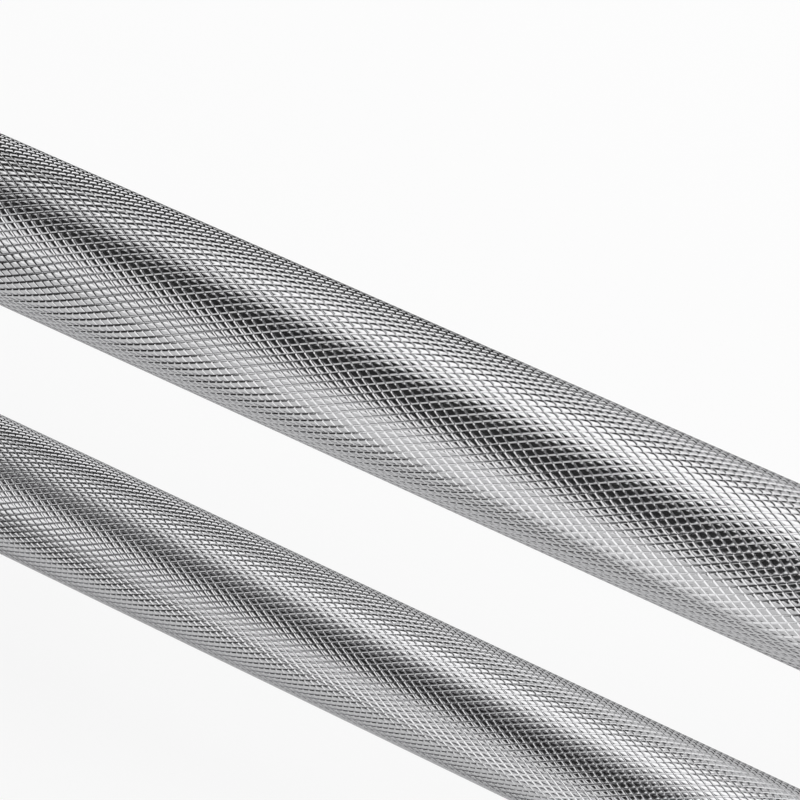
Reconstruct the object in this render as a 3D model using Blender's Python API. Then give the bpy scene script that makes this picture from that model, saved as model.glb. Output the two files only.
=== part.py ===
"""Trap bar for strength training.

A hexagonal frame of square steel tube, which the lifter stands inside. Each side has two knurled
handles: one flush with the frame and one raised above it on two posts. At each end a sleeve for
the plates turns on a spindle that is welded through the frame.

Metres, +Z up. The origin is on the floor under the middle of the bar. +X is the lifter's right,
along the sleeves, and +Y is the lifter's front.
"""

from math import atan2, pi, radians

import bmesh
import bpy
from mathutils import Matrix, Vector

# Handles
handle_diameter = 0.028        # over the crests of the knurl
handle_plain_diameter = 0.0275 # of the plain ends
handle_offset = 0.315          # from the middle of the bar to a handle's centre line
raised_handle_rise = 0.120     # from the flush handle's centre line up to the raised one's
knurl_margin = 0.026           # plain bar between a post or frame tube and the knurl
knurl_shoulder = 0.0008        # slope from the plain bar up to the crests

# Frame, in square tube
frame_tube_side = 0.040
frame_tube_wall = 0.003
frame_tube_corner = 0.005      # outer corner radius
rail_offset = 0.315            # from the middle to a rail's centre line, along Y
rail_half_length = 0.205       # from the middle of a rail to the corner with a diagonal
end_tube_offset = 0.455        # from the middle to an end tube's centre line, along X
end_tube_half_length = 0.065   # from the sleeve's axis to the corner with a diagonal

# Posts under the raised handles, in rectangular tube
post_width = 0.030             # along X
post_depth = 0.020             # along Y
post_wall = 0.002
post_corner = 0.003
post_above_handle = 0.020      # from the raised handle's centre line to the post's top
post_cap_thickness = 0.003
post_cap_edge = 0.0008         # bevel round the top of a cap

# Spindles
spindle_diameter = 0.028
spindle_inboard_end = 0.002    # how far a spindle stands out of the end tube's inner face
spindle_chamfer = 0.001
spindle_end_room = 0.004       # between a spindle's outer end and the sleeve cap's skirt

# Sleeves and their flanges
sleeve_diameter = 0.050
sleeve_wall = 0.004
sleeve_load_length = 0.250     # from the flange's outer face to the sleeve's open end
sleeve_end_chamfer = 0.0015
flange_diameter = 0.080
flange_thickness = 0.012
flange_chamfer = 0.0015

# Bushings, washers and snap rings
bushing_length = 0.030
washer_thickness = 0.002
thrust_washer_diameter = 0.038
retaining_washer_room = 0.001  # between a retaining washer's rim and the sleeve's bore
snap_ring_thickness = 0.0015
snap_ring_width = 0.004        # across the ring's section
snap_groove_depth = 0.0015
snap_ring_setback = 0.005      # from the spindle's outer end to the ring
snap_ring_opening = radians(30)

# Caps in the open ends of the sleeves
sleeve_cap_thickness = 0.003
sleeve_cap_edge = 0.001
sleeve_cap_skirt_length = 0.012
sleeve_cap_skirt_wall = 0.0025

# Clearances
weld_gap = 0.0003              # between faces that are welded or pressed together
running_gap = 0.0003           # between faces that turn against each other

# Fineness
handle_facets = 48
sleeve_facets = 48
inner_facets = 32
corner_steps = 3

# Worked out from the sizes above
axis_height = flange_diameter / 2
raised_handle_height = axis_height + raised_handle_rise
handle_radius = handle_diameter / 2
handle_plain_radius = handle_plain_diameter / 2
spindle_radius = spindle_diameter / 2
sleeve_radius = sleeve_diameter / 2
sleeve_bore_radius = sleeve_radius - sleeve_wall
post_bottom = axis_height + frame_tube_side / 2 + weld_gap
post_top = raised_handle_height + post_above_handle

# Places along a sleeve's axis, outwards from the end tube's centre line
end_tube_face = frame_tube_side / 2
thrust_washer_start = end_tube_face + running_gap
sleeve_start = thrust_washer_start + washer_thickness + running_gap
plate_face = sleeve_start + flange_thickness
sleeve_end = plate_face + sleeve_load_length
skirt_start = sleeve_end - sleeve_cap_skirt_length
spindle_end = skirt_start - spindle_end_room
snap_ring_end = spindle_end - snap_ring_setback
snap_ring_start = snap_ring_end - snap_ring_thickness
retaining_washer_end = snap_ring_start - running_gap
retaining_washer_start = retaining_washer_end - washer_thickness
outer_bushing_end = retaining_washer_start - running_gap
outer_bushing_start = outer_bushing_end - bushing_length


def remove_all_objects():
    for thing in list(bpy.data.objects):
        bpy.data.objects.remove(thing, do_unlink=True)


def finish(name, colour, metallic, roughness):
    """A material of one colour, metallic value and roughness."""
    material = bpy.data.materials.new(name)
    material.use_nodes = True
    shader = material.node_tree.nodes["Principled BSDF"]
    shader.inputs["Base Color"].default_value = (*colour, 1.0)
    shader.inputs["Metallic"].default_value = metallic
    shader.inputs["Roughness"].default_value = roughness
    material.diffuse_color = (*colour, 1.0)
    return material


def empty(name, location, turn=0.0):
    """An empty that carries the pieces of one end, turned about Z."""
    carrier = bpy.data.objects.new(name, None)
    bpy.context.scene.collection.objects.link(carrier)
    carrier.location = location
    carrier.rotation_euler = (0.0, 0.0, turn)
    return carrier


def add_piece(name, mesh, material, location=(0.0, 0.0, 0.0), parent=None):
    """One named object for one piece, which may share its mesh with its twin."""
    if not mesh.materials:
        mesh.materials.append(material)
    piece = bpy.data.objects.new(name, mesh)
    bpy.context.scene.collection.objects.link(piece)
    piece.location = location
    piece.parent = parent
    return piece


def to_mesh(shape, name):
    """Close a bmesh off as a smooth-shaded mesh with sharp edges where it turns a corner."""
    bmesh.ops.remove_doubles(shape, verts=shape.verts, dist=0.000001)
    bmesh.ops.recalc_face_normals(shape, faces=shape.faces)
    mesh = bpy.data.meshes.new(name)
    shape.to_mesh(mesh)
    shape.free()
    mesh.shade_smooth()
    mesh.set_sharp_from_angle(angle=radians(35))
    return mesh


def turned(outline, facets, ring):
    """Turn (along, radius) points round the X axis. A ring's outline joins its two ends."""
    shape = bmesh.new()
    points = [shape.verts.new((along, 0.0, radius)) for along, radius in outline]
    edges = [shape.edges.new(pair) for pair in zip(points, points[1:])]
    if ring:
        edges.append(shape.edges.new((points[-1], points[0])))
    bmesh.ops.spin(shape, geom=points + edges, cent=(0, 0, 0), axis=(1, 0, 0), angle=2 * pi,
                   steps=facets, use_merge=True)
    return shape


def plain_ring(start, end, inner_radius, outer_radius, facets):
    """Outline of a washer, bushing or other ring with square edges, turned."""
    outline = [(start, inner_radius), (start, outer_radius), (end, outer_radius), (end, inner_radius)]
    return turned(outline, facets, ring=True)


def cut_off(shape, point, outward):
    """Cut a shape at a plane, drop what lies outward of it, and return the cut's edges."""
    cut = bmesh.ops.bisect_plane(shape, geom=shape.verts[:] + shape.edges[:] + shape.faces[:],
                                 dist=0.0000001, plane_co=point, plane_no=outward, clear_outer=True)
    return [part for part in cut["geom_cut"] if isinstance(part, bmesh.types.BMEdge)]


def rounded_rectangle(shape, width, depth, radius):
    """A face in the XY plane with rounded corners."""
    others = set(shape.faces)
    signs = ((-1, -1), (1, -1), (1, 1), (-1, 1))
    corners = [shape.verts.new((x * width / 2, y * depth / 2, 0.0)) for x, y in signs]
    shape.faces.new(corners)
    bmesh.ops.bevel(shape, geom=corners, offset=radius, offset_type="OFFSET", affect="VERTICES",
                    segments=corner_steps, profile=0.5, material=-1)
    return next(face for face in shape.faces if face not in others)


def tube(width, depth, wall, corner, place, length, cuts):
    """Rectangular tube along place's Z axis, open right through, cut at two planes.

    width lies along place's X axis and depth along its Y axis. The tube is made longer than
    length at both ends before it is cut.
    """
    shape = bmesh.new()
    spare = width + depth
    for inset in (0.0, wall):
        radius = max(corner - inset, corner / 5)
        face = rounded_rectangle(shape, width - 2 * inset, depth - 2 * inset, radius)
        rim = list(face.edges)
        bmesh.ops.delete(shape, geom=[face], context="FACES_ONLY")
        bmesh.ops.translate(shape, verts=list({v for edge in rim for v in edge.verts}),
                            vec=(0.0, 0.0, -spare))
        grown = bmesh.ops.extrude_edge_only(shape, edges=rim)["geom"]
        far_rim = [part for part in grown if isinstance(part, bmesh.types.BMVert)]
        bmesh.ops.translate(shape, verts=far_rim, vec=(0.0, 0.0, length + 2 * spare))
        if inset:
            walls = [part for part in grown if isinstance(part, bmesh.types.BMFace)]
            bmesh.ops.reverse_faces(shape, faces=walls)
    bmesh.ops.transform(shape, matrix=place, verts=shape.verts)
    for point, outward in cuts:
        bmesh.ops.bridge_loops(shape, edges=cut_off(shape, point, outward))
    return shape


def mitre(corner, along, along_other):
    """Where a tube that leaves a corner along one way is cut for its neighbour, with a gap."""
    outward = (along_other - along).normalized()
    return corner - outward * weld_gap / 2, outward


def level_tube(start, end, cuts):
    """Frame tube between two corners at the height of the sleeves' axis."""
    along = (end - start).normalized()
    turn = Matrix.Rotation(atan2(along.y, along.x), 4, "Z") @ Matrix.Rotation(pi / 2, 4, "Y")
    place = Matrix.Translation(start) @ turn
    return tube(frame_tube_side, frame_tube_side, frame_tube_wall, frame_tube_corner, place,
                (end - start).length, cuts)


def frame_corners(side, front):
    """A quarter's two corners: rail with diagonal, and diagonal with end tube."""
    rail_corner = Vector((side * rail_half_length, front * rail_offset, axis_height))
    end_corner = Vector((side * end_tube_offset, front * end_tube_half_length, axis_height))
    return rail_corner, end_corner


def diagonal_inner_face(side, front):
    """A point on a diagonal's face towards the standing space, and that face's direction in."""
    rail_corner, end_corner = frame_corners(side, front)
    along = (end_corner - rail_corner).normalized()
    inward = Vector((-along.y, along.x, 0.0))
    if inward.x * side > 0:
        inward.negate()
    return rail_corner + inward * frame_tube_side / 2, inward


def post_middle(side, front):
    """Where a post stands: on the diagonal's centre line, over the handle's line."""
    rail_corner, end_corner = frame_corners(side, front)
    share = (side * handle_offset - rail_corner.x) / (end_corner.x - rail_corner.x)
    return rail_corner.lerp(end_corner, share)


def handle_shape(plain_half_length, knurl_half_length):
    """Round bar along Y with a slightly proud knurled length, open at its ends."""
    outline = [(-plain_half_length, handle_plain_radius),
               (-knurl_half_length - knurl_shoulder, handle_plain_radius),
               (-knurl_half_length, handle_radius),
               (knurl_half_length, handle_radius),
               (knurl_half_length + knurl_shoulder, handle_plain_radius),
               (plain_half_length, handle_plain_radius)]
    shape = turned(outline, handle_facets, ring=False)
    bmesh.ops.rotate(shape, cent=(0, 0, 0), matrix=Matrix.Rotation(pi / 2, 3, "Z"), verts=shape.verts)
    return shape


def handle(name, side, height, ends, nearest, material):
    """A handle between two end planes. nearest is the least length of bar from its middle."""
    centre = Vector((side * handle_offset, 0.0, height))
    farthest = nearest + 2 * handle_diameter + frame_tube_side
    shape = handle_shape(farthest, nearest - knurl_margin)
    for point, outward in ends:
        edges = cut_off(shape, point - centre, outward)
        bmesh.ops.holes_fill(shape, edges=edges, sides=0)
    add_piece(name, to_mesh(shape, name), material, location=centre)


def build_frame(material):
    for front, name in ((1, "front_rail"), (-1, "rear_rail")):
        left_corner, _ = frame_corners(-1, front)
        right_corner, right_end = frame_corners(1, front)
        _, left_end = frame_corners(-1, front)
        along = Vector((1.0, 0.0, 0.0))
        cuts = [mitre(left_corner, along, (left_end - left_corner).normalized()),
                mitre(right_corner, -along, (right_end - right_corner).normalized())]
        add_piece(name, to_mesh(level_tube(left_corner, right_corner, cuts), name), material)

    for side, side_name in ((-1, "left"), (1, "right")):
        for front, front_name in ((1, "front"), (-1, "rear")):
            rail_corner, end_corner = frame_corners(side, front)
            along = (end_corner - rail_corner).normalized()
            cuts = [mitre(rail_corner, along, Vector((-side, 0.0, 0.0))),
                    mitre(end_corner, -along, Vector((0.0, -front, 0.0)))]
            name = f"{side_name}_{front_name}_diagonal"
            add_piece(name, to_mesh(level_tube(rail_corner, end_corner, cuts), name), material)

        front_rail_corner, front_end = frame_corners(side, 1)
        rear_rail_corner, rear_end = frame_corners(side, -1)
        along = Vector((0.0, 1.0, 0.0))
        cuts = [mitre(rear_end, along, (rear_rail_corner - rear_end).normalized()),
                mitre(front_end, -along, (front_rail_corner - front_end).normalized())]
        name = f"{side_name}_end_tube"
        piece = add_piece(name, to_mesh(level_tube(rear_end, front_end, cuts), name), material)
        bore_for_spindle(piece, side, side_name)


def bore_for_spindle(end_tube, side, side_name):
    """Drill both walls of an end tube for its spindle."""
    reach = frame_tube_side
    radius = spindle_radius + weld_gap
    outline = [(-reach, 0.0), (-reach, radius), (reach, radius), (reach, 0.0)]
    drill = add_piece(f"{side_name}_spindle_drill",
                      to_mesh(turned(outline, inner_facets, ring=False), "spindle_drill"),
                      end_tube.data.materials[0],
                      location=(side * end_tube_offset, 0.0, axis_height))
    drill.display_type = "WIRE"
    drill.hide_render = True
    bore = end_tube.modifiers.new("spindle_bore", "BOOLEAN")
    bore.operation = "DIFFERENCE"
    bore.solver = "EXACT"
    bore.object = drill


def build_handles(knurled, plain):
    for side, side_name in ((-1, "left"), (1, "right")):
        flush_ends = []
        for front in (1, -1):
            face, inward = diagonal_inner_face(side, front)
            flush_ends.append((face + inward * weld_gap, -inward))
        face, inward = flush_ends[0][0], -flush_ends[0][1]
        inboard = side * (handle_offset - handle_radius)
        outboard = side * (handle_offset + handle_radius)
        reaches = [face.y - inward.x / inward.y * (x - face.x) for x in (inboard, outboard)]
        handle(f"{side_name}_flush_handle", side, axis_height, flush_ends, min(reaches), knurled)

        post_face = post_middle(side, 1).y - post_depth / 2 - weld_gap
        raised_ends = [(Vector((0.0, front * post_face, 0.0)), Vector((0.0, front, 0.0)))
                       for front in (1, -1)]
        handle(f"{side_name}_raised_handle", side, raised_handle_height, raised_ends, post_face,
               knurled)

        for front, front_name in ((1, "front"), (-1, "rear")):
            build_post(side, front, f"{side_name}_{front_name}", plain)


def build_post(side, front, quarter, material):
    """A post on the diagonal, and the plate that closes its top."""
    middle = post_middle(side, front)
    low = Vector((0.0, 0.0, post_bottom))
    high = Vector((0.0, 0.0, post_top))
    up = Vector((0.0, 0.0, 1.0))
    place = Matrix.Translation(low)
    shape = tube(post_width, post_depth, post_wall, post_corner, place, post_top - post_bottom,
                 [(low, -up), (high, up)])
    name = f"{quarter}_post"
    add_piece(name, to_mesh(shape, name), material, location=(middle.x, middle.y, 0.0))

    plate = bmesh.new()
    face = rounded_rectangle(plate, post_width, post_depth, post_corner)
    grown = bmesh.ops.extrude_face_region(plate, geom=[face], use_keep_orig=True)["geom"]
    top = next(part for part in grown if isinstance(part, bmesh.types.BMFace))
    bmesh.ops.translate(plate, verts=top.verts, vec=(0.0, 0.0, post_cap_thickness))
    bmesh.ops.bevel(plate, geom=list(top.edges), offset=post_cap_edge, affect="EDGES", segments=1,
                    profile=0.5, material=-1)
    name = f"{quarter}_post_cap"
    add_piece(name, to_mesh(plate, name), material,
              location=(middle.x, middle.y, post_top + weld_gap))


def spindle_shape():
    """Solid round bar with a snap ring's groove near its outer end."""
    start = -end_tube_face - spindle_inboard_end
    groove_start = snap_ring_start - running_gap
    groove_end = snap_ring_end + running_gap
    groove_radius = spindle_radius - snap_groove_depth
    outline = [(start, 0.0),
               (start, spindle_radius - spindle_chamfer),
               (start + spindle_chamfer, spindle_radius),
               (groove_start, spindle_radius),
               (groove_start, groove_radius),
               (groove_end, groove_radius),
               (groove_end, spindle_radius),
               (spindle_end - spindle_chamfer, spindle_radius),
               (spindle_end, spindle_radius - spindle_chamfer),
               (spindle_end, 0.0)]
    return turned(outline, inner_facets, ring=False)


def snap_ring_shape():
    """Split ring in the spindle's groove, with its opening upwards."""
    inner_radius = spindle_radius - snap_groove_depth + running_gap
    outer_radius = inner_radius + snap_ring_width
    shape = bmesh.new()
    section = [(snap_ring_start, inner_radius), (snap_ring_start, outer_radius),
               (snap_ring_end, outer_radius), (snap_ring_end, inner_radius)]
    face = shape.faces.new([shape.verts.new((along, 0.0, radius)) for along, radius in section])
    bmesh.ops.spin(shape, geom=[face], cent=(0, 0, 0), axis=(1, 0, 0),
                   angle=2 * pi - snap_ring_opening, steps=inner_facets)
    bmesh.ops.rotate(shape, cent=(0, 0, 0), matrix=Matrix.Rotation(snap_ring_opening / 2, 3, "X"),
                     verts=shape.verts)
    return shape


def sleeve_shape():
    """Tube with an outer chamfer at its open end, for plates to slide on."""
    outline = [(sleeve_start, sleeve_bore_radius),
               (sleeve_start, sleeve_radius),
               (sleeve_end - sleeve_end_chamfer, sleeve_radius),
               (sleeve_end, sleeve_radius - sleeve_end_chamfer),
               (sleeve_end, sleeve_bore_radius)]
    return turned(outline, sleeve_facets, ring=True)


def flange_shape():
    """Thick ring round the sleeve's inner end, chamfered on both rims."""
    bore = sleeve_radius + weld_gap
    rim = flange_diameter / 2
    outline = [(sleeve_start, bore),
               (sleeve_start, rim - flange_chamfer),
               (sleeve_start + flange_chamfer, rim),
               (plate_face - flange_chamfer, rim),
               (plate_face, rim - flange_chamfer),
               (plate_face, bore)]
    return turned(outline, sleeve_facets, ring=True)


def sleeve_cap_shape():
    """Disc against the sleeve's end with a thin skirt that is pressed into its bore."""
    inner_face = sleeve_end + weld_gap
    outer_face = inner_face + sleeve_cap_thickness
    rim = sleeve_radius - sleeve_end_chamfer
    skirt = sleeve_bore_radius - weld_gap
    outline = [(inner_face, 0.0),
               (inner_face, skirt - sleeve_cap_skirt_wall),
               (skirt_start, skirt - sleeve_cap_skirt_wall),
               (skirt_start, skirt),
               (inner_face, skirt),
               (inner_face, rim),
               (outer_face - sleeve_cap_edge, rim),
               (outer_face, rim - sleeve_cap_edge),
               (outer_face, 0.0)]
    return turned(outline, sleeve_facets, ring=False)


def build_ends(steel, bronze, spring, polymer):
    """Both ends share their meshes: the left one is the right one turned half round."""
    bore = spindle_radius + running_gap
    bushing_rim = sleeve_bore_radius - weld_gap
    fixed = {
        "spindle": (spindle_shape(), steel),
        "thrust_washer": (plain_ring(thrust_washer_start, thrust_washer_start + washer_thickness,
                                     bore, thrust_washer_diameter / 2, inner_facets), bronze),
        "retaining_washer": (plain_ring(retaining_washer_start, retaining_washer_end, bore,
                                        sleeve_bore_radius - retaining_washer_room,
                                        inner_facets), steel),
        "snap_ring": (snap_ring_shape(), spring),
    }
    turning = {
        "sleeve": (sleeve_shape(), steel),
        "flange": (flange_shape(), steel),
        "inner_bushing": (plain_ring(sleeve_start, sleeve_start + bushing_length, bore,
                                     bushing_rim, inner_facets), bronze),
        "outer_bushing": (plain_ring(outer_bushing_start, outer_bushing_end, bore, bushing_rim,
                                     inner_facets), bronze),
        "sleeve_cap": (sleeve_cap_shape(), polymer),
    }
    for group, carrier_name in ((fixed, "end"), (turning, "sleeve_axis")):
        meshes = {name: (to_mesh(shape, name), material)
                  for name, (shape, material) in group.items()}
        for side, side_name, turn in ((1, "right", 0.0), (-1, "left", pi)):
            carrier = empty(f"{side_name}_{carrier_name}",
                            (side * end_tube_offset, 0.0, axis_height), turn)
            for name, (mesh, material) in meshes.items():
                add_piece(f"{side_name}_{name}", mesh, material, parent=carrier)


remove_all_objects()
chrome = finish("chromed_steel", (0.53, 0.53, 0.54), 1.0, 0.09)
knurled_chrome = finish("knurled_chrome", (0.50, 0.50, 0.51), 1.0, 0.14)
bronze = finish("sintered_bronze", (0.55, 0.36, 0.17), 1.0, 0.42)
spring_steel = finish("spring_steel", (0.10, 0.10, 0.11), 1.0, 0.45)
polymer = finish("black_polymer", (0.02, 0.02, 0.022), 0.0, 0.5)
build_frame(chrome)
build_handles(knurled_chrome, chrome)
build_ends(chrome, bronze, spring_steel, polymer)
bpy.context.view_layer.update()
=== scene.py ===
"""Looks of the trap bar: a chromed hexagonal frame, four knurled handles and two turning sleeves.

Metres, +Z up: +X is the lifter's right and +Y the lifter's front.
"""

from bisect import bisect_right
from itertools import accumulate
from math import atan2, copysign, cos, hypot, pi, radians, sin, sqrt, tan

import bmesh
import bpy
from bmesh.types import BMEdge, BMFace, BMVert
from mathutils import Matrix, Vector


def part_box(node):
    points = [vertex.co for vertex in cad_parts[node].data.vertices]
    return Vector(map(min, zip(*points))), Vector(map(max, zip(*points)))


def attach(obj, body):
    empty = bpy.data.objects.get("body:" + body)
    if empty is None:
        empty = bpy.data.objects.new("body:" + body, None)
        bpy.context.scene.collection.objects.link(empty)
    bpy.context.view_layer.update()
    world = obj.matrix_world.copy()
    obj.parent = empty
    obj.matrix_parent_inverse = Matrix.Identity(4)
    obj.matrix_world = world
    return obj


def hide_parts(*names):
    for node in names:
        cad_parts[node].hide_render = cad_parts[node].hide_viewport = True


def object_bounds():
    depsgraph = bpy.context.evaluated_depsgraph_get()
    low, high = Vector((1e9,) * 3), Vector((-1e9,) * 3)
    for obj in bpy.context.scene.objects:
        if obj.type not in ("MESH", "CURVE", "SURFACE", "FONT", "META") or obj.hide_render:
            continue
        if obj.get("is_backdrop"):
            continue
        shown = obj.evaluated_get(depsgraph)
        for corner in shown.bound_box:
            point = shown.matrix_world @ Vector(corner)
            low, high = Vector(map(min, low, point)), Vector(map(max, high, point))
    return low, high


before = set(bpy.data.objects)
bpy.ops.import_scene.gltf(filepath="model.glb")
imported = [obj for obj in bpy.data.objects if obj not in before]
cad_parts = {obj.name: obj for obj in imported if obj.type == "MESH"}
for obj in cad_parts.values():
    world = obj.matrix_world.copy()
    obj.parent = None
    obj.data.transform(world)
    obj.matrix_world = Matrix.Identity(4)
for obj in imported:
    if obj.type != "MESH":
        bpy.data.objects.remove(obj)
cad_low, cad_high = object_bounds()


# Frame tubes
# Eight lengths of 40 mm square steel tube with a 3 mm wall, cut to mitres and closed up into a
# hexagon that the lifter stands inside. The frame is polished and chromed once it is welded.

sides = {"left": -1, "right": 1}
fronts = {"rear": -1, "front": 1}
frame_tube_side = 0.040
frame_tube_wall = 0.003
frame_tube_corner = 0.005
corner_steps = 6
grid_half = 0.5
axis_height = 0.040
rail_offset = 0.315
rail_half_length = 0.205
end_tube_offset = 0.455
end_tube_half_length = 0.065
weld_gap = 0.0003
same_place = 0.0000001
cut_edge_angle = radians(40)
chrome_coolness = 1.015
smear_dullness = 0.03


class Value:
    """What a node gives out, for use in sums."""

    def __init__(self, finish, socket):
        self.finish = finish
        self.socket = socket

    def __add__(self, other):
        return self.finish.node("Math", {"operation": "ADD"}, {0: self, 1: other})

    def __sub__(self, other):
        return self.finish.node("Math", {"operation": "SUBTRACT"}, {0: self, 1: other})

    def __rsub__(self, other):
        return self.finish.node("Math", {"operation": "SUBTRACT"}, {0: other, 1: self})

    def __mul__(self, other):
        return self.finish.node("Math", {"operation": "MULTIPLY"}, {0: self, 1: other})

    __radd__ = __add__
    __rmul__ = __mul__

    def span(self, low, high):
        """A number that goes from low to high as this one goes from 0 to 1."""
        return self * (high - low) + low


class Finish:
    """A surface finish: one shader and the nodes that vary it over the piece."""

    def __init__(self, name, **sockets):
        self.material = bpy.data.materials.new(name)
        self.material.use_nodes = True
        self.tree = self.material.node_tree
        self.shader = self.tree.nodes["Principled BSDF"]
        self.set(**sockets)

    def set(self, **sockets):
        for name, value in sockets.items():
            self.feed(self.shader.inputs[name.replace("_", " ")], value)

    def feed(self, socket, value):
        if isinstance(value, Value):
            self.tree.links.new(value.socket, socket)
        else:
            socket.default_value = value

    def node(self, kind, settings=None, inputs=None, output=0):
        made = self.tree.nodes.new(f"ShaderNode{kind}")
        for name, value in (settings or {}).items():
            setattr(made, name, value)
        for name, value in (inputs or {}).items():
            self.feed(made.inputs[name], value)
        return Value(self, made.outputs[output])

    def place(self):
        return self.node("TexCoord", output="Object")

    def noise(self, place, scale, detail=2.0):
        return self.node("TexNoise", {}, {"Vector": place, "Scale": scale, "Detail": detail})

    def between(self, share, low, high):
        return self.node("Mix", {"data_type": "RGBA"}, {0: share, 6: low, 7: high}, output=2)

    def bump(self, height, strength, distance):
        return self.node("Bump", {},
                         {"Height": height, "Strength": strength, "Distance": distance})


def cool_grey(level):
    """A grey with the slight blue of chrome."""
    return (level, level, level * chrome_coolness, 1.0)


def polished_chrome(name, dull, bright, roughness, wave_depth):
    """Chrome over polished steel: faint clouds, wiped smears and the waviness of the polish."""
    finish = Finish(name, Metallic=1.0)
    place = finish.place()
    clouds = finish.noise(place, scale=14.0, detail=3.0)
    smears = finish.noise(place, scale=160.0, detail=5.0)
    waves = finish.noise(place, scale=240.0, detail=1.0)
    finish.set(Base_Color=finish.between(clouds, cool_grey(dull), cool_grey(bright)),
               Roughness=smears.span(roughness - smear_dullness, roughness + smear_dullness),
               Normal=finish.bump(waves, strength=0.4, distance=wave_depth))
    return finish


def join_up(thing, body, node=None):
    """Let a finished piece ride on its body and stand for a solid, if there is one."""
    bpy.context.scene.collection.objects.link(thing)
    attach(thing, body)
    if node:
        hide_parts(node)
    return thing


def make_piece(name, shape, finish, body, node=None):
    """Close a bmesh off as a smooth piece."""
    mesh = bpy.data.meshes.new(name)
    shape.to_mesh(mesh)
    shape.free()
    mesh.materials.append(finish.material)
    mesh.shade_smooth()
    return join_up(bpy.data.objects.new(name, mesh), body, node)


def keep_flats(thing):
    """Shade flats as flat beside rounded corners, with sharp edges where the metal was cut."""
    thing.data.set_sharp_from_angle(angle=cut_edge_angle)
    thing.modifiers.new("flats", "WEIGHTED_NORMAL").keep_sharp = True
    return thing


def only(kind, parts):
    """The corners, the edges or the faces among what an operator gives back."""
    return [part for part in parts if isinstance(part, kind)]


def cut_off(shape, point, outward):
    """Cut a shape at a plane, drop what lies outward of it, and return the cut's edges."""
    cut = bmesh.ops.bisect_plane(shape, geom=shape.verts[:] + shape.edges[:] + shape.faces[:],
                                 dist=same_place, plane_co=point, plane_no=outward,
                                 clear_outer=True)
    return only(BMEdge, cut["geom_cut"])


def rounded_rectangle(shape, width, depth, radius):
    """A face in the XY plane with rounded corners."""
    corners = bmesh.ops.create_grid(shape, x_segments=1, y_segments=1, size=grid_half)["verts"]
    bmesh.ops.scale(shape, verts=corners, vec=(width, depth, 1.0))
    bmesh.ops.bevel(shape, geom=corners, offset=radius, offset_type="OFFSET", affect="VERTICES",
                    segments=corner_steps, profile=0.5, material=-1)
    return shape.faces[:][0]


def tube(width, depth, wall, corner, place, length, cuts):
    """Tube along place's Z axis, made longer than it will be and cut at two planes."""
    shape = bmesh.new()
    inside = rounded_rectangle(shape, width, depth, corner)
    bmesh.ops.inset_individual(shape, faces=[inside], thickness=wall, use_even_offset=True)
    bmesh.ops.delete(shape, geom=[inside], context="FACES")
    spare = width + depth
    bmesh.ops.translate(shape, verts=shape.verts, vec=(0.0, 0.0, -spare))
    grown = bmesh.ops.extrude_face_region(shape, geom=shape.faces[:], use_keep_orig=True)["geom"]
    bmesh.ops.translate(shape, verts=only(BMVert, grown), vec=(0.0, 0.0, length + 2 * spare))
    bmesh.ops.transform(shape, matrix=place, verts=shape.verts)
    for point, outward in cuts:
        bmesh.ops.bridge_loops(shape, edges=cut_off(shape, point, outward))
    bmesh.ops.recalc_face_normals(shape, faces=shape.faces)
    return shape


tube_chrome = polished_chrome("tube_chrome", dull=0.50, bright=0.56, roughness=0.09,
                              wave_depth=0.00004)
corners = {}
for side_name, side in sides.items():
    for front_name, front in fronts.items():
        corners[side_name, front_name, "rail"] = Vector(
            (side * rail_half_length, front * rail_offset, axis_height))
        corners[side_name, front_name, "end_tube"] = Vector(
            (side * end_tube_offset, front * end_tube_half_length, axis_height))
tube_ends = {
    "front_rail": (("left", "front", "rail"), ("right", "front", "rail")),
    "rear_rail": (("left", "rear", "rail"), ("right", "rear", "rail")),
    "left_end_tube": (("left", "rear", "end_tube"), ("left", "front", "end_tube")),
    "right_end_tube": (("right", "rear", "end_tube"), ("right", "front", "end_tube")),
    "left_front_diagonal": (("left", "front", "rail"), ("left", "front", "end_tube")),
    "left_rear_diagonal": (("left", "rear", "rail"), ("left", "rear", "end_tube")),
    "right_front_diagonal": (("right", "front", "rail"), ("right", "front", "end_tube")),
    "right_rear_diagonal": (("right", "rear", "rail"), ("right", "rear", "end_tube")),
}

ways_out = {corner: [] for corner in corners}
for near, far in tube_ends.values():
    ways_out[near].append((corners[far] - corners[near]).normalized())
    ways_out[far].append((corners[near] - corners[far]).normalized())

for node, ends in tube_ends.items():
    start, end = (corners[corner] for corner in ends)
    along = (end - start).normalized()
    cuts = []
    for corner, way in zip(ends, (along, -along)):
        other = max(ways_out[corner], key=lambda way_out: (way_out - way).length)
        outward = (other - way).normalized()
        cuts.append((corners[corner] - outward * weld_gap / 2, outward))
    place = (Matrix.Translation(start) @ Matrix.Rotation(atan2(along.y, along.x), 4, "Z")
             @ Matrix.Rotation(pi / 2, 4, "Y"))
    shape = tube(frame_tube_side, frame_tube_side, frame_tube_wall, frame_tube_corner, place,
                 (end - start).length, cuts)
    keep_flats(make_piece(f"{node}_tube", shape, tube_chrome, "frame", node))


# Welds of the frame
# A bead of weld metal runs round each of the eight mitres in overlapping ripples. It is dressed
# nearly flush on the outside of the hexagon and chromed with the tubes.

weld_ripple = 0.0020
ripple_depth = 0.16
ripple_steps = 6
ripple_arch = 0.45
ripple_scallop = 0.05
bead_swells = ((0.08, 5), (0.05, 11))
bead_steps = 12
root_share = 0.3
outline_corner_steps = 8
box_margin = 0.00001
mitre_weld_half_width = 0.0032
mitre_weld_rise = 0.0011
mitre_weld_sunk = 0.0001
dressed_share = 0.8


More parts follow.
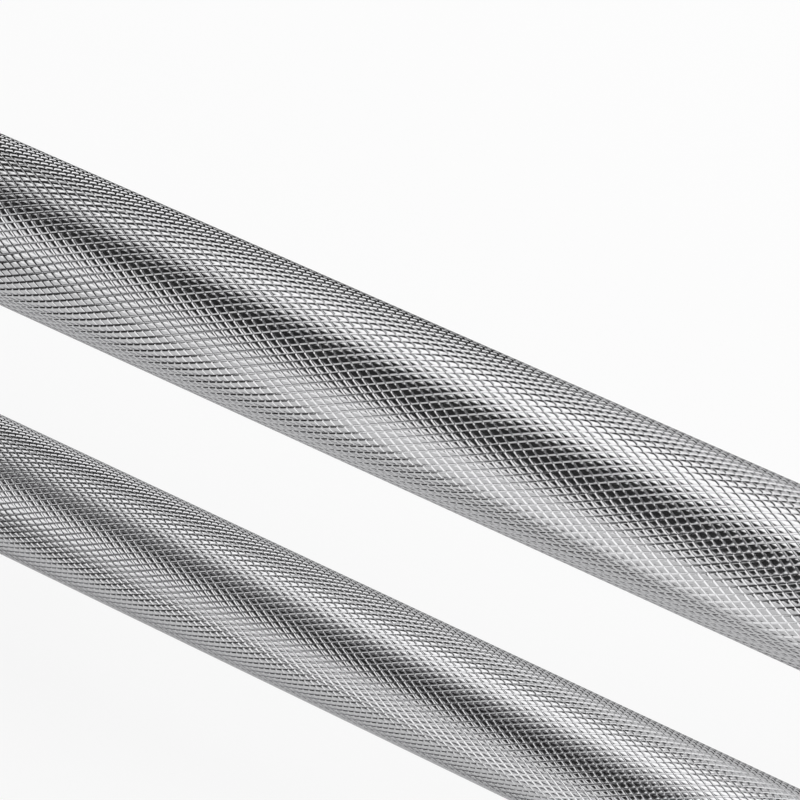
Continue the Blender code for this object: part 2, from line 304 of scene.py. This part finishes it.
def rounded_outline(width, depth, radius):
    """Places round a rounded rectangle and the way that it faces at each."""
    line = []
    for turn, (x, y) in enumerate(((1, 1), (-1, 1), (-1, -1), (1, -1))):
        centre = Vector((x * (width / 2 - radius), y * (depth / 2 - radius)))
        for step in range(outline_corner_steps + 1):
            angle = pi / 2 * (turn + step / outline_corner_steps)
            facing = Vector((cos(angle), sin(angle)))
            line.append((centre + facing * radius, facing))
    return line


def bead_stations(line):
    """Even steps, a few to a ripple, along a closed line of places, facings and heights."""
    places = [place for place, _, _ in line]
    steps = [(after - before).length for before, after in zip(places, places[1:] + places[:1])]
    reached = list(accumulate(steps, initial=0.0))
    count = round(reached[-1] / weld_ripple) * ripple_steps
    stations = []
    for index in range(count):
        along = reached[-1] * index / count
        before = bisect_right(reached, along) - 1
        share = (along - reached[before]) / steps[before]
        place, facing, level = line[before]
        next_place, next_facing, next_level = line[(before + 1) % len(line)]
        stations.append((place.lerp(next_place, share),
                         facing.lerp(next_facing, share).normalized(),
                         level + (next_level - level) * share))
    return stations


def weld_bead(name, line, half_width, rise, body="frame"):
    """A closed bead along a line of places, facings and shares of its full height."""
    stations = bead_stations(line)
    count = len(stations)
    shape = bmesh.new()
    bmesh.ops.create_grid(shape, x_segments=count, y_segments=bead_steps, size=grid_half)
    for corner in shape.verts:
        index = round((corner.co.x + grid_half) * count) % count
        angle = 2 * pi * (corner.co.y + grid_half)
        place, facing, level = stations[index]
        way = (stations[(index + 1) % count][0] - stations[index - 1][0]).normalized()
        across = way.cross(facing).normalized()
        ripple = abs(sin(pi * (index / ripple_steps + ripple_arch * cos(angle) ** 2)))
        swell = sum((share * sin(2 * pi * times * index / count) for share, times in bead_swells),
                    start=1.0)
        scallop = 1 - ripple_scallop + ripple_scallop * ripple
        height = rise * level * swell * (1 + ripple_depth * (ripple - 1))
        if sin(angle) < 0:
            height *= root_share
        corner.co = (place + across * half_width * swell * scallop * cos(angle)
                     + facing * height * sin(angle))
        corner.co.y = min(max(corner.co.y, cad_low.y + box_margin), cad_high.y - box_margin)
    bmesh.ops.remove_doubles(shape, verts=shape.verts, dist=same_place)
    bmesh.ops.recalc_face_normals(shape, faces=shape.faces)
    return make_piece(name, shape, weld_chrome, body)


weld_chrome = polished_chrome("weld_chrome", dull=0.44, bright=0.54, roughness=0.16,
                              wave_depth=0.00002)
section = rounded_outline(frame_tube_side, frame_tube_side, frame_tube_corner)
for (side_name, front_name, tube_name), corner in corners.items():
    one_way, other_way = ways_out[side_name, front_name, tube_name]
    square = (other_way - one_way).normalized()
    outside = -(one_way + other_way).normalized()
    sideways = Vector((-one_way.y, one_way.x, 0.0))
    line = []
    for place, facing in section:
        off = sideways * place.x + Vector((0.0, 0.0, place.y))
        off -= one_way * (off.dot(square) / one_way.dot(square))
        facing = sideways * facing.x + Vector((0.0, 0.0, facing.y))
        facing = (facing - square * facing.dot(square)).normalized()
        level = 1 - dressed_share * max(facing.dot(outside), 0.0)
        line.append((corner + off - facing * mitre_weld_sunk, facing, level))
    weld_bead(f"{side_name}_{front_name}_{tube_name}_weld", line, mitre_weld_half_width,
              mitre_weld_rise)


# Posts under the raised handles
# Four uprights of 30 by 20 mm rectangular tube stand on the diagonals, each in a fillet weld, and
# each is closed by a 3 mm plate with eased top edges that is welded on and dressed flush.

post_width = 0.030
post_depth = 0.020
post_wall = 0.002
post_corner = 0.003
post_cap_edge = 0.0008
post_cap_edge_steps = 3
fillet_leg = 0.0024
fillet_spread = 1.2
fillet_bulge = 0.8
cap_weld_half_width = 0.0009
cap_weld_rise = 0.00025
cap_weld_sunk = 0.0001
upwards = Vector((0.0, 0.0, 1.0))


def fillet(place, facing_one, facing_other):
    """A station of a weld that fills the corner between two surfaces."""
    return place, (facing_one + facing_other).normalized(), sqrt(1 - facing_one.dot(facing_other))


def fillet_weld(name, line, leg):
    """A weld in a corner, as wide as its two legs and a little bulged."""
    return weld_bead(name, line, fillet_spread * leg, fillet_bulge * leg)


for side_name in ("left", "right"):
    for front_name in ("front", "rear"):
        quarter = f"{side_name}_{front_name}"
        low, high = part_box(f"{quarter}_post")
        centre = Vector(((low.x + high.x) / 2, (low.y + high.y) / 2, 0.0))
        shape = tube(post_width, post_depth, post_wall, post_corner,
                     Matrix.Translation(centre + upwards * low.z), high.z - low.z,
                     [(low, -upwards), (high, upwards)])
        keep_flats(make_piece(f"{quarter}_post_tube", shape, tube_chrome, "frame",
                              f"{quarter}_post"))

        plate_low, plate_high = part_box(f"{quarter}_post_cap")
        shape = bmesh.new()
        face = rounded_rectangle(shape, post_width, post_depth, post_corner)
        grown = bmesh.ops.extrude_face_region(shape, geom=[face], use_keep_orig=True)["geom"]
        top = only(BMFace, grown)[0]
        bmesh.ops.translate(shape, verts=top.verts, vec=(0.0, 0.0, plate_high.z - plate_low.z))
        bmesh.ops.bevel(shape, geom=list(top.edges), offset=post_cap_edge, affect="EDGES",
                        segments=post_cap_edge_steps, profile=0.5, material=-1)
        bmesh.ops.translate(shape, verts=shape.verts, vec=centre + upwards * plate_low.z)
        bmesh.ops.recalc_face_normals(shape, faces=shape.faces)
        keep_flats(make_piece(f"{quarter}_post_plate", shape, tube_chrome, "frame",
                              f"{quarter}_post_cap"))

        foot, seam = [], []
        for place, facing in rounded_outline(post_width, post_depth, post_corner):
            place, facing = centre + place.to_3d(), facing.to_3d()
            foot.append(fillet(place + upwards * (low.z - weld_gap), facing, upwards))
            joint = place + upwards * (high.z + plate_low.z) / 2
            seam.append((joint - facing * cap_weld_sunk, facing, 1.0))
        fillet_weld(f"{quarter}_post_foot_weld", foot, fillet_leg)
        weld_bead(f"{quarter}_post_plate_weld", seam, cap_weld_half_width, cap_weld_rise)


# Handles
# Two solid round bars on each side, one flush with the frame and one raised on the posts. They
# are rolled with a diamond knurl and chromed, and their plain ends are welded in all round.

handle_radius = 0.014
handle_plain_radius = 0.01375
plain_end_spare = 0.12
knurl_starts = 58
knurl_length = 0.00270
knurl_depth = 0.00032
wide_groove_share = 0.48
narrow_groove_share = 0.44
flank_lean = radians(46)
groove_lean = radians(22)
crest_lean_over_wide = radians(11)
crest_lean_over_narrow = radians(7)
knurl_spare_rows = 2
knurl_seam = 0.00001
knurl_margin = 0.026
knurl_shoulder = 0.0008
weld_tuck = 0.0008
ring_steps = 48
# The grooves are coloured a little darker than the crests: partly dirt held in them, partly
# painted shade for the light that the grooves trap.
crest_colour = cool_grey(0.51)
groove_dirt_and_painted_shade_colour = cool_grey(0.48)
glancing_colour = cool_grey(0.50)
crest_roughness = 0.13
groove_roughness = 0.15
wear_dullness = 0.08


def knurled_bar(half_length):
    """Knurled length of a bar along Y, rolled up from a flat sheet of raised squares."""
    around = 2 * pi * handle_radius / knurl_starts
    diagonal = hypot(around, knurl_length)
    first = -int(2 * half_length / knurl_length) - knurl_spare_rows
    rows = knurl_starts - 2 * first
    narrow, wide = 1 / narrow_groove_share, 1 / wide_groove_share
    shape = bmesh.new()
    height = shape.verts.layers.float.new("height")
    facing = shape.loops.layers.float_vector.new("facing")
    bmesh.ops.create_grid(shape, x_segments=knurl_starts, y_segments=rows, size=grid_half)
    bmesh.ops.scale(shape, verts=shape.verts, vec=(knurl_starts * narrow, rows * wide, 1.0))
    crests = set(shape.faces[:])
    bmesh.ops.inset_individual(shape, faces=list(crests), thickness=0.5, depth=1.0)
    crest_corners = {corner for face in crests for corner in face.verts}
    rolled = {}
    for corner in shape.verts:
        one_way = corner.co.x / narrow + knurl_starts / 2
        other_way = corner.co.y / wide + rows / 2 + first
        turn = pi * (one_way + other_way) / knurl_starts
        out = Vector((cos(turn), 0.0, sin(turn)))
        rolled[corner] = (out, Vector((0.0, knurl_length * (one_way - other_way) / 2, 0.0)))
        corner[height] = corner.co.z
    along_it = Vector((0.0, 1.0, 0.0))
    for face in shape.faces:
        middle = face.calc_center_median()
        for loop in face.loops:
            corner = loop.vert
            out = rolled[corner][0]
            round_it = Vector((-out.z, 0.0, out.x))
            off_narrow = (round_it * knurl_length + along_it * around) / diagonal
            off_wide = (round_it * knurl_length - along_it * around) / diagonal
            if face in crests:
                across_narrow = copysign(crest_lean_over_narrow, corner.co.x - middle.x)
                across_wide = copysign(crest_lean_over_wide, corner.co.y - middle.y)
            else:
                across_narrow = across_wide = 0.0
                lean = flank_lean if corner in crest_corners else groove_lean
                crest_side = [other.co for other in face.verts if other in crest_corners]
                drop = middle - (crest_side[0] + crest_side[1]) / 2
                if abs(drop.x) > abs(drop.y):
                    across_narrow = copysign(lean, drop.x)
                else:
                    across_wide = copysign(lean, drop.y)
            loop[facing] = out + off_narrow * tan(across_narrow) + off_wide * tan(across_wide)
    for corner, (out, along) in rolled.items():
        corner.co = out * (handle_radius - knurl_depth * (1 - corner[height])) + along
    bmesh.ops.remove_doubles(shape, verts=shape.verts, dist=knurl_seam)
    bmesh.ops.recalc_face_normals(shape, faces=shape.faces)
    return shape


def handle_shape(knurl_half_length, ends):
    """Knurled bar along Y with plain ends, cut at two planes."""
    shape = knurled_bar(knurl_half_length)
    height = shape.verts.layers.float["height"]
    facing = shape.loops.layers.float_vector["facing"]
    slope = (handle_radius - handle_plain_radius) / knurl_shoulder
    for front, (point, outward) in zip((1, -1), ends):
        knurl_end = Vector((0.0, front * knurl_half_length, 0.0))
        rim = cut_off(shape, knurl_end, Vector((0.0, front, 0.0)))
        for step, lean in ((knurl_shoulder, front * slope), (plain_end_spare, 0.0)):
            grown = bmesh.ops.extrude_edge_only(shape, edges=rim)["geom"]
            far_corners = set(only(BMVert, grown))
            for corner in far_corners:
                swell = handle_plain_radius / hypot(corner.co.x, corner.co.z)
                corner.co = (corner.co.x * swell, corner.co.y + front * step,
                             corner.co.z * swell)
                corner[height] = 1.0
            for face in only(BMFace, grown):
                for loop in face.loops:
                    out = Vector((loop.vert.co.x, 0.0, loop.vert.co.z)).normalized()
                    loop[facing] = out + Vector((0.0, lean, 0.0))
            rim = [edge for edge in only(BMEdge, grown) if far_corners.issuperset(edge.verts)]
        rim = cut_off(shape, point, outward)
        for face in bmesh.ops.holes_fill(shape, edges=rim, sides=0)["faces"]:
            for loop in face.loops:
                loop[facing] = outward
    bmesh.ops.recalc_face_normals(shape, faces=shape.faces)
    return shape


def shade_by_facing(mesh):
    """Shade each face corner by the facing that was worked out for it."""
    facing = [corner.vector.normalized() for corner in mesh.attributes["facing"].data]
    mesh.normals_split_custom_set(facing)
    mesh.attributes.remove(mesh.attributes["facing"])


def ring_ways():
    """Level and upright shares of the way out at even steps round a ring."""
    angles = [2 * pi * step / ring_steps for step in range(ring_steps)]
    return [(cos(angle), sin(angle)) for angle in angles]


knurl_chrome = Finish("knurl_chrome", Metallic=1.0, Specular_Tint=glancing_colour)
height = knurl_chrome.node("Attribute", {"attribute_name": "height"}, output="Fac")
wear = knurl_chrome.noise(knurl_chrome.place(), scale=420.0, detail=3.0)
grain = knurl_chrome.noise(knurl_chrome.place(), scale=2600.0)
knurl_chrome.set(
    # Base colour darker towards the groove floors: partly dirt, partly painted shade.
    Base_Color=knurl_chrome.between(height, groove_dirt_and_painted_shade_colour, crest_colour),
    Roughness=height.span(groove_roughness, crest_roughness) + (wear - 0.5) * wear_dullness,
    Normal=knurl_chrome.bump(grain, strength=0.25, distance=0.00001))

for mounting in ("raised", "flush"):
    low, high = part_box(f"right_{mounting}_handle")
    centre = (low + high) / 2
    reach = high.y
    if mounting == "raised":
        ends = [(Vector((0.0, front * reach, 0.0)), Vector((0.0, front, 0.0)))
                for front in (1, -1)]
        nearest = reach
    else:
        ends = [(Vector((-handle_plain_radius, front * reach, 0.0)),
                 Vector((1.0, front, 0.0)).normalized()) for front in (1, -1)]
        nearest = reach - 2 * handle_plain_radius
    shape = handle_shape(nearest - knurl_margin, ends)
    bmesh.ops.translate(shape, verts=shape.verts, vec=centre)
    right = make_piece(f"right_{mounting}_handle_bar", shape, knurl_chrome, "frame",
                       f"right_{mounting}_handle")
    shade_by_facing(right.data)
    left = bpy.data.objects.new(f"left_{mounting}_handle_bar", right.data.copy())
    left.data.transform(Matrix.Rotation(pi, 4, "Z"))
    join_up(left, "frame", f"left_{mounting}_handle")

    for side_name, side in sides.items():
        for front_name, front in fronts.items():
            inward = Vector((0.0, -front, 0.0))
            if mounting == "flush":
                inward = Vector((-side, -front, 0.0)).normalized()
            line = []
            for sideways, rise in ring_ways():
                out = Vector((sideways, 0.0, rise))
                place = Vector((side * centre.x, front * (reach + weld_gap), centre.z))
                place += out * handle_plain_radius
                if mounting == "flush":
                    place.y -= front * side * (place.x - side * (centre.x - handle_plain_radius))
                else:
                    place -= (out + inward) * (weld_tuck * abs(out.x))
                line.append(fillet(place, out, inward))
            fillet_weld(f"{side_name}_{front_name}_{mounting}_handle_weld", line, fillet_leg)


# Spindles
# A solid 28 mm round bar runs through each end tube and is welded at the inner wall, where its
# turned end shows the centre hole of the lathe. The groove near its outer end holds a snap ring.

spindle_radius = 0.014
spindle_inboard_end = 0.002
spindle_chamfer = 0.001
spindle_weld_leg = 0.0014
centre_hole_radius = 0.003
centre_hole_depth = 0.004
spindle_end = 0.2686
snap_groove = (0.2618, 0.2639)
snap_groove_radius = 0.0125
turned_facets = 96
turned_seam = 0.000001
turned_shades = cool_grey(0.50), cool_grey(0.57)
turning_mark_dullness = 0.06
turned_cloud_dullness = 0.05
turning_marks_per_millimetre = 3.2
millimetres = 1000.0


def turned(outline, side):
    """Turn an outline of (along, radius) round an end's axis, as a solid bar or as a ring."""
    shape = bmesh.new()
    points = [shape.verts.new((along, 0.0, radius)) for along, radius in outline]
    edges = [shape.edges.new(pair) for pair in zip(points, points[1:])]
    if outline[0][1] > 0:
        edges.append(shape.edges.new((points[-1], points[0])))
    bmesh.ops.spin(shape, geom=points + edges, cent=(0, 0, 0), axis=(1, 0, 0), angle=2 * pi,
                   steps=turned_facets, use_merge=True)
    bmesh.ops.remove_doubles(shape, verts=shape.verts, dist=turned_seam)
    place = Matrix.Translation((side * end_tube_offset, 0.0, axis_height))
    bmesh.ops.transform(shape, verts=shape.verts,
                        matrix=place @ Matrix.Rotation(0.0 if side > 0 else pi, 4, "Z"))
    bmesh.ops.recalc_face_normals(shape, faces=shape.faces)
    return shape


def turned_chrome(name, roughness, mark_depth):
    """Chrome over a turned surface: fine rings run round it, on its rim and its faces alike."""
    finish = Finish(name, Metallic=1.0)
    place = finish.place()
    off_axis = finish.node("VectorMath", {"operation": "SUBTRACT"},
                           {0: place, 1: (0.0, 0.0, axis_height)})
    off_axis = finish.node("VectorMath", {"operation": "MULTIPLY"},
                           {0: off_axis, 1: (0.0, 1.0, 1.0)})
    radius = finish.node("VectorMath", {"operation": "LENGTH"}, {0: off_axis}, output="Value")
    along = finish.node("SeparateXYZ", {}, {"Vector": place}, output="X")
    rings = finish.node("TexNoise", {"noise_dimensions": "1D"},
                        {"W": (radius + along) * millimetres,
                         "Scale": turning_marks_per_millimetre, "Detail": 3.0})
    clouds = finish.noise(place, scale=30.0, detail=4.0)
    finish.set(Base_Color=finish.between(clouds, *turned_shades),
               Roughness=(rings * turning_mark_dullness + clouds * turned_cloud_dullness
                          + (roughness - turned_cloud_dullness)),
               Normal=finish.bump(rings, strength=0.5, distance=mark_depth))
    return finish


def ring_line(side, along, radius, facing_other):
    """Fillet stations round an end's axis."""
    centre = Vector((side * (end_tube_offset + along), 0.0, axis_height))
    line = []
    for across, rise in ring_ways():
        out = Vector((0.0, across, rise))
        line.append(fillet(centre + out * radius, out, facing_other))
    return line


spindle_chrome = turned_chrome("spindle_chrome", roughness=0.16, mark_depth=0.00003)
inboard = -frame_tube_side / 2 - spindle_inboard_end
spindle_outline = [(inboard + centre_hole_depth, 0.0), (inboard, centre_hole_radius),
                   (inboard, spindle_radius - spindle_chamfer),
                   (inboard + spindle_chamfer, spindle_radius),
                   (snap_groove[0], spindle_radius), (snap_groove[0], snap_groove_radius),
                   (snap_groove[1], snap_groove_radius), (snap_groove[1], spindle_radius),
                   (spindle_end - spindle_chamfer, spindle_radius),
                   (spindle_end, spindle_radius - spindle_chamfer), (spindle_end, 0.0)]
for side_name, side in sides.items():
    keep_flats(make_piece(f"{side_name}_spindle_bar", turned(spindle_outline, side),
                          spindle_chrome, "frame", f"{side_name}_spindle"))
    fillet_weld(f"{side_name}_spindle_weld",
                ring_line(side, -frame_tube_side / 2, spindle_radius, Vector((-side, 0.0, 0.0))),
                spindle_weld_leg)


# Washers, bushings and snap rings
# Bronze washers take the rub between end tube and sleeve, and bushings of oiled, sintered bronze
# are pressed into the sleeves. Inside, a steel washer and a sprung ring keep each sleeve on.

thrust_washer_start = 0.0203
thrust_washer_end = 0.0223
thrust_washer_bore_radius = 0.0143
thrust_washer_radius = 0.019
washer_edge = 0.0002
bronze_shades = (0.42, 0.26, 0.12, 1.0), (0.60, 0.40, 0.20, 1.0)
bronze_roughness = 0.32, 0.47
washer_shades = cool_grey(0.42), cool_grey(0.56)
washer_roughness = 0.2, 0.4
oxide_shades = cool_grey(0.05), cool_grey(0.13)
oxide_roughness = 0.35, 0.55

bronze = Finish("sintered_bronze", Metallic=1.0)
grains = bronze.node("TexVoronoi", {}, {"Vector": bronze.place(), "Scale": 2400.0})
patches = bronze.noise(bronze.place(), scale=120.0, detail=3.0)
bronze.set(Base_Color=bronze.between(patches, *bronze_shades),
           Roughness=patches.span(*bronze_roughness),
           Normal=bronze.bump(grains, strength=0.4, distance=0.00003))

washer_steel = Finish("washer_steel", Metallic=1.0)
spangle = washer_steel.noise(washer_steel.place(), scale=500.0, detail=4.0)
washer_steel.set(Base_Color=washer_steel.between(spangle, *washer_shades),
                 Roughness=spangle.span(*washer_roughness),
                 Normal=washer_steel.bump(spangle, strength=0.2, distance=0.00002))

blacked_steel = Finish("blacked_steel", Metallic=1.0)
oxide = blacked_steel.noise(blacked_steel.place(), scale=800.0, detail=4.0)
blacked_steel.set(Base_Color=blacked_steel.between(oxide, *oxide_shades),
                  Roughness=oxide.span(*oxide_roughness),
                  Normal=blacked_steel.bump(oxide, strength=0.3, distance=0.00002))

washer_outline = [(thrust_washer_start, thrust_washer_bore_radius),
                  (thrust_washer_start, thrust_washer_radius - washer_edge),
                  (thrust_washer_start + washer_edge, thrust_washer_radius),
                  (thrust_washer_end - washer_edge, thrust_washer_radius),
                  (thrust_washer_end, thrust_washer_radius - washer_edge),
                  (thrust_washer_end, thrust_washer_bore_radius)]
for side_name, side in sides.items():
    keep_flats(make_piece(f"{side_name}_bronze_washer", turned(washer_outline, side), bronze,
                          "frame", f"{side_name}_thrust_washer"))
    for node, finish in (("inner_bushing", bronze), ("outer_bushing", bronze),
                         ("retaining_washer", washer_steel), ("snap_ring", blacked_steel)):
        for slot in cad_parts[f"{side_name}_{node}"].material_slots:
            slot.material = finish.material


# Sleeves and flanges
# The plates slide on a 50 mm tube with a chamfered end, up to a flange that is welded on behind.
# Both are turned on a lathe and chromed, and they turn together on the spindle.

sleeve_radius = 0.025
sleeve_bore_radius = 0.021
sleeve_start = 0.0226
plate_face = 0.0346
sleeve_end = 0.2846
sleeve_chamfer = 0.0015
flange_radius = 0.040
flange_bore_radius = sleeve_radius + weld_gap
flange_chamfer = 0.0015
flange_weld_half_width = 0.0016
flange_weld_rise = 0.0006
edge_easing = 0.0003


def eased(outline):
    """Take the sharpness off the outer corners of a ring's outline, as a polish does."""
    bore = min(radius for _, radius in outline)
    softer = []
    for before, corner, after in zip(outline[-1:] + outline, outline, outline[1:] + outline[:1]):
        if corner[1] == bore:
            softer.append(corner)
            continue
        for neighbour in (before, after):
            step = (Vector(neighbour) - Vector(corner)).normalized() * edge_easing
            softer.append(tuple(Vector(corner) + step))
    return softer


sleeve_chrome = turned_chrome("sleeve_chrome", roughness=0.11, mark_depth=0.00003)
sleeve_outline = eased([(sleeve_start, sleeve_bore_radius), (sleeve_start, sleeve_radius),
                        (sleeve_end - sleeve_chamfer, sleeve_radius),
                        (sleeve_end, sleeve_radius - sleeve_chamfer),
                        (sleeve_end, sleeve_bore_radius)])
flange_outline = eased([(sleeve_start, flange_bore_radius),
                        (sleeve_start, flange_radius - flange_chamfer),
                        (sleeve_start + flange_chamfer, flange_radius),
                        (plate_face - flange_chamfer, flange_radius),
                        (plate_face, flange_radius - flange_chamfer),
                        (plate_face, flange_bore_radius)])
for side_name, side in sides.items():
    body = f"{side_name}_sleeve_set"
    keep_flats(make_piece(f"{side_name}_sleeve_tube", turned(sleeve_outline, side),
                          sleeve_chrome, body, f"{side_name}_sleeve"))
    keep_flats(make_piece(f"{side_name}_flange_ring", turned(flange_outline, side),
                          sleeve_chrome, body, f"{side_name}_flange"))
    inboard_way = Vector((-side, 0.0, 0.0))
    line = [(place, inboard_way, 1.0) for place, _, _ in
            ring_line(side, sleeve_start, sleeve_radius + weld_gap / 2, inboard_way)]
    weld_bead(f"{side_name}_flange_weld", line, flange_weld_half_width, flange_weld_rise, body)


# Sleeve caps
# A moulded black polymer disc closes the open end of each sleeve. Its rim rests on the steel, its
# skirt is pressed into the bore, and its face is finely grained inside a smooth raised border.

cap_skirt_start = 0.2726
cap_skirt_wall = 0.0025
cap_thickness = 0.003
cap_edge = 0.001
cap_edge_steps = 5
cap_recess_radius = 0.0165
cap_recess_depth = 0.0006
cap_shades = cool_grey(0.012), cool_grey(0.030)
cap_roughness = 0.38, 0.58

cap_polymer = Finish("black_polymer", IOR=1.5)
grain = cap_polymer.noise(cap_polymer.place(), scale=1500.0, detail=3.0)
scuffs = cap_polymer.noise(cap_polymer.place(), scale=140.0, detail=5.0)
cap_polymer.set(Base_Color=cap_polymer.between(scuffs, *cap_shades),
                Roughness=scuffs.span(*cap_roughness),
                Normal=cap_polymer.bump(grain, strength=0.5, distance=0.00006))

inner_face = sleeve_end + weld_gap
outer_face = inner_face + cap_thickness
rim = sleeve_radius - sleeve_chamfer
skirt = sleeve_bore_radius - weld_gap
rounding = [(outer_face - cap_edge + cap_edge * sin(pi / 2 * step / cap_edge_steps),
             rim - cap_edge + cap_edge * cos(pi / 2 * step / cap_edge_steps))
            for step in range(cap_edge_steps + 1)]
cap_outline = [(inner_face, 0.0), (inner_face, skirt - cap_skirt_wall),
               (cap_skirt_start, skirt - cap_skirt_wall), (cap_skirt_start, skirt),
               (inner_face, skirt), (inner_face, rim), *rounding,
               (outer_face, cap_recess_radius + cap_recess_depth),
               (outer_face - cap_recess_depth, cap_recess_radius),
               (outer_face - cap_recess_depth, 0.0)]
for side_name, side in sides.items():
    keep_flats(make_piece(f"{side_name}_sleeve_end_cap", turned(cap_outline, side), cap_polymer,
                          f"{side_name}_sleeve_set", f"{side_name}_sleeve_cap"))


# Floor, light and surroundings
# A white floor under three soft boxes and an even sky. Dark cards stand where only the chrome
# sees them, and give it the dark bands that it has beside a studio's unlit parts.

floor_reach = 30.0
floor_glow = 0.85
paper_level = 0.92
paper_roughness = 0.9
sky_light = 0.6


class Sky(Finish):
    """The even surroundings, which have a background shader."""

    def __init__(self, name):
        self.world = bpy.data.worlds.new(name)
        self.world.use_nodes = True
        self.tree = self.world.node_tree
        self.shader = self.tree.nodes["Background"]


def plain_grey(level):
    """A grey without a tint, from black at 0 to white at 1."""
    return (level, level, level, 1.0)


def seen_or_mirrored(finish):
    """1 for camera, glossy and transmission rays, and 0 for the rest."""
    seen, mirrored, through = (finish.node("LightPath", output=f"Is {kind} Ray")
                               for kind in ("Camera", "Glossy", "Transmission"))
    return finish.node("Clamp", {}, {"Value": seen + mirrored + through})


def stage_sheet(name, sheet_corners, material):
    """A flat sheet that isn't part of the bar."""
    shape = bmesh.new()
    shape.faces.new([shape.verts.new(corner) for corner in sheet_corners])
    mesh = bpy.data.meshes.new(name)
    shape.to_mesh(mesh)
    shape.free()
    mesh.materials.append(material)
    sheet = bpy.data.objects.new(name, mesh)
    bpy.context.scene.collection.objects.link(sheet)
    sheet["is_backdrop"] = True
    return sheet


paper = Finish("floor_paper", Base_Color=plain_grey(paper_level), Roughness=paper_roughness)
lit = paper.node("MixShader", {}, {0: seen_or_mirrored(paper) * floor_glow,
                                   1: Value(paper, paper.shader.outputs["BSDF"]),
                                   2: paper.node("Emission")})
paper.feed(paper.tree.nodes["Material Output"].inputs["Surface"], lit)
stage_sheet("floor", [(x * floor_reach, y * floor_reach, 0.0)
                      for x, y in ((-1, -1), (1, -1), (1, 1), (-1, 1))], paper.material)

sky = Sky("studio")
sky.set(Color=plain_grey(1.0), Strength=seen_or_mirrored(sky).span(sky_light, 1.0))
bpy.context.scene.world = sky.world

low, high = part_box("right_raised_handle")
grip = (low + high) / 2
overhead = 1.0
box_height = 1.05
box_edge_light = 0.68
card_foot = -0.16
low_card_height = -0.155
card_level = 0.03


def level_card(spots, height):
    """Corners of a level card, from the middle of the raised handle."""
    return [(x, y, height) for x, y in spots]


def upright_card(start, end, top):
    """Corners of a card that stands up, from the middle of the raised handle."""
    return [(*start, card_foot), (*end, card_foot), (*end, top), (*start, top)]


def soft_box(name, near_edge, outward, depth, length, radiance):
    """A level soft box overhead, which is dimmer towards the edges of its cloth."""
    outward = Vector((*outward, 0.0)).normalized()
    sideways = upwards.cross(outward) * length / 2
    near = grip + Vector((*near_edge, box_height))
    far = near + outward * depth
    cloth = Finish(f"{name}_cloth", Base_Color=plain_grey(0.0), Roughness=1.0,
                   Emission_Strength=radiance)
    off_middle = cloth.node("VectorMath", {"operation": "DISTANCE"},
                            {0: cloth.place(), 1: tuple((near + far) / 2)}, output="Value")
    cloth.set(Emission_Color=cloth.between(off_middle * (2 / hypot(depth, length)),
                                           plain_grey(1.0), plain_grey(box_edge_light)))
    box = stage_sheet(name, [near - sideways, near + sideways, far + sideways, far - sideways],
                      cloth.material)
    box.visible_camera = False


card_black = Finish("card_black", Base_Color=cool_grey(card_level), Roughness=1.0)
cards = {
    "card_over_camera": level_card([(-0.50, -0.80), (-0.08, 0.18), (2.40, 0.18), (0.0, -0.80)],
                                   overhead),
    "card_low": level_card([(-0.16, -0.03), (-0.60, -0.06), (-0.48, -0.24), (-0.12, -0.24)],
                           low_card_height),
    "card_beyond": upright_card((-1.27, -0.05), (-0.45, -1.20), top=0.72),
    "card_rear": upright_card((-0.45, -1.2), (1.6, -1.2), top=0.9),
    "card_front": upright_card((1.6, 1.3), (-1.2, 1.3), top=0.8),
}
for name, card_corners in cards.items():
    card = stage_sheet(name, [grip + Vector(corner) for corner in card_corners],
                       card_black.material)
    card.visible_camera = False
    card.visible_diffuse = False
    card.visible_shadow = False

soft_box("soft_box_inboard", near_edge=(-0.44, -0.27), outward=(-0.77, 0.64),
         depth=1.0, length=1.9, radiance=2.1)
soft_box("soft_box_front", near_edge=(0.5, 0.20), outward=(0.0, 1.0),
         depth=0.9, length=1.1, radiance=2.1)
soft_box("soft_box_outboard", near_edge=(1.3, -0.45), outward=(0.42, -0.91),
         depth=1.2, length=2.0, radiance=1.85)


# Camera
# Outboard of the right handles and above them, looking in over the raised one to the flush one,
# so that the two bars cross the picture and nothing else comes into it.

elevation = radians(60.61)
turn = radians(27.21)
distance = 0.4178
shift_up = -0.00037
lens_pixels = 2446
picture_pixels = 800
back = Vector((cos(elevation) * cos(turn), cos(elevation) * sin(turn), sin(elevation)))
to_the_right = Vector((-sin(turn), cos(turn), 0.0))
up = back.cross(to_the_right)
lens = bpy.data.cameras.new("camera")
lens.sensor_width = 36.0
lens.lens = lens_pixels / picture_pixels * lens.sensor_width
lens.clip_start = 0.01
camera = bpy.data.objects.new("camera", lens)
bpy.context.scene.collection.objects.link(camera)
aim = Matrix((to_the_right, up, back)).transposed().to_4x4()
aim.translation = grip + back * distance + up * shift_up
camera.matrix_world = aim
bpy.context.scene.camera = camera
bpy.context.scene.view_settings.view_transform = "Standard"

low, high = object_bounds()
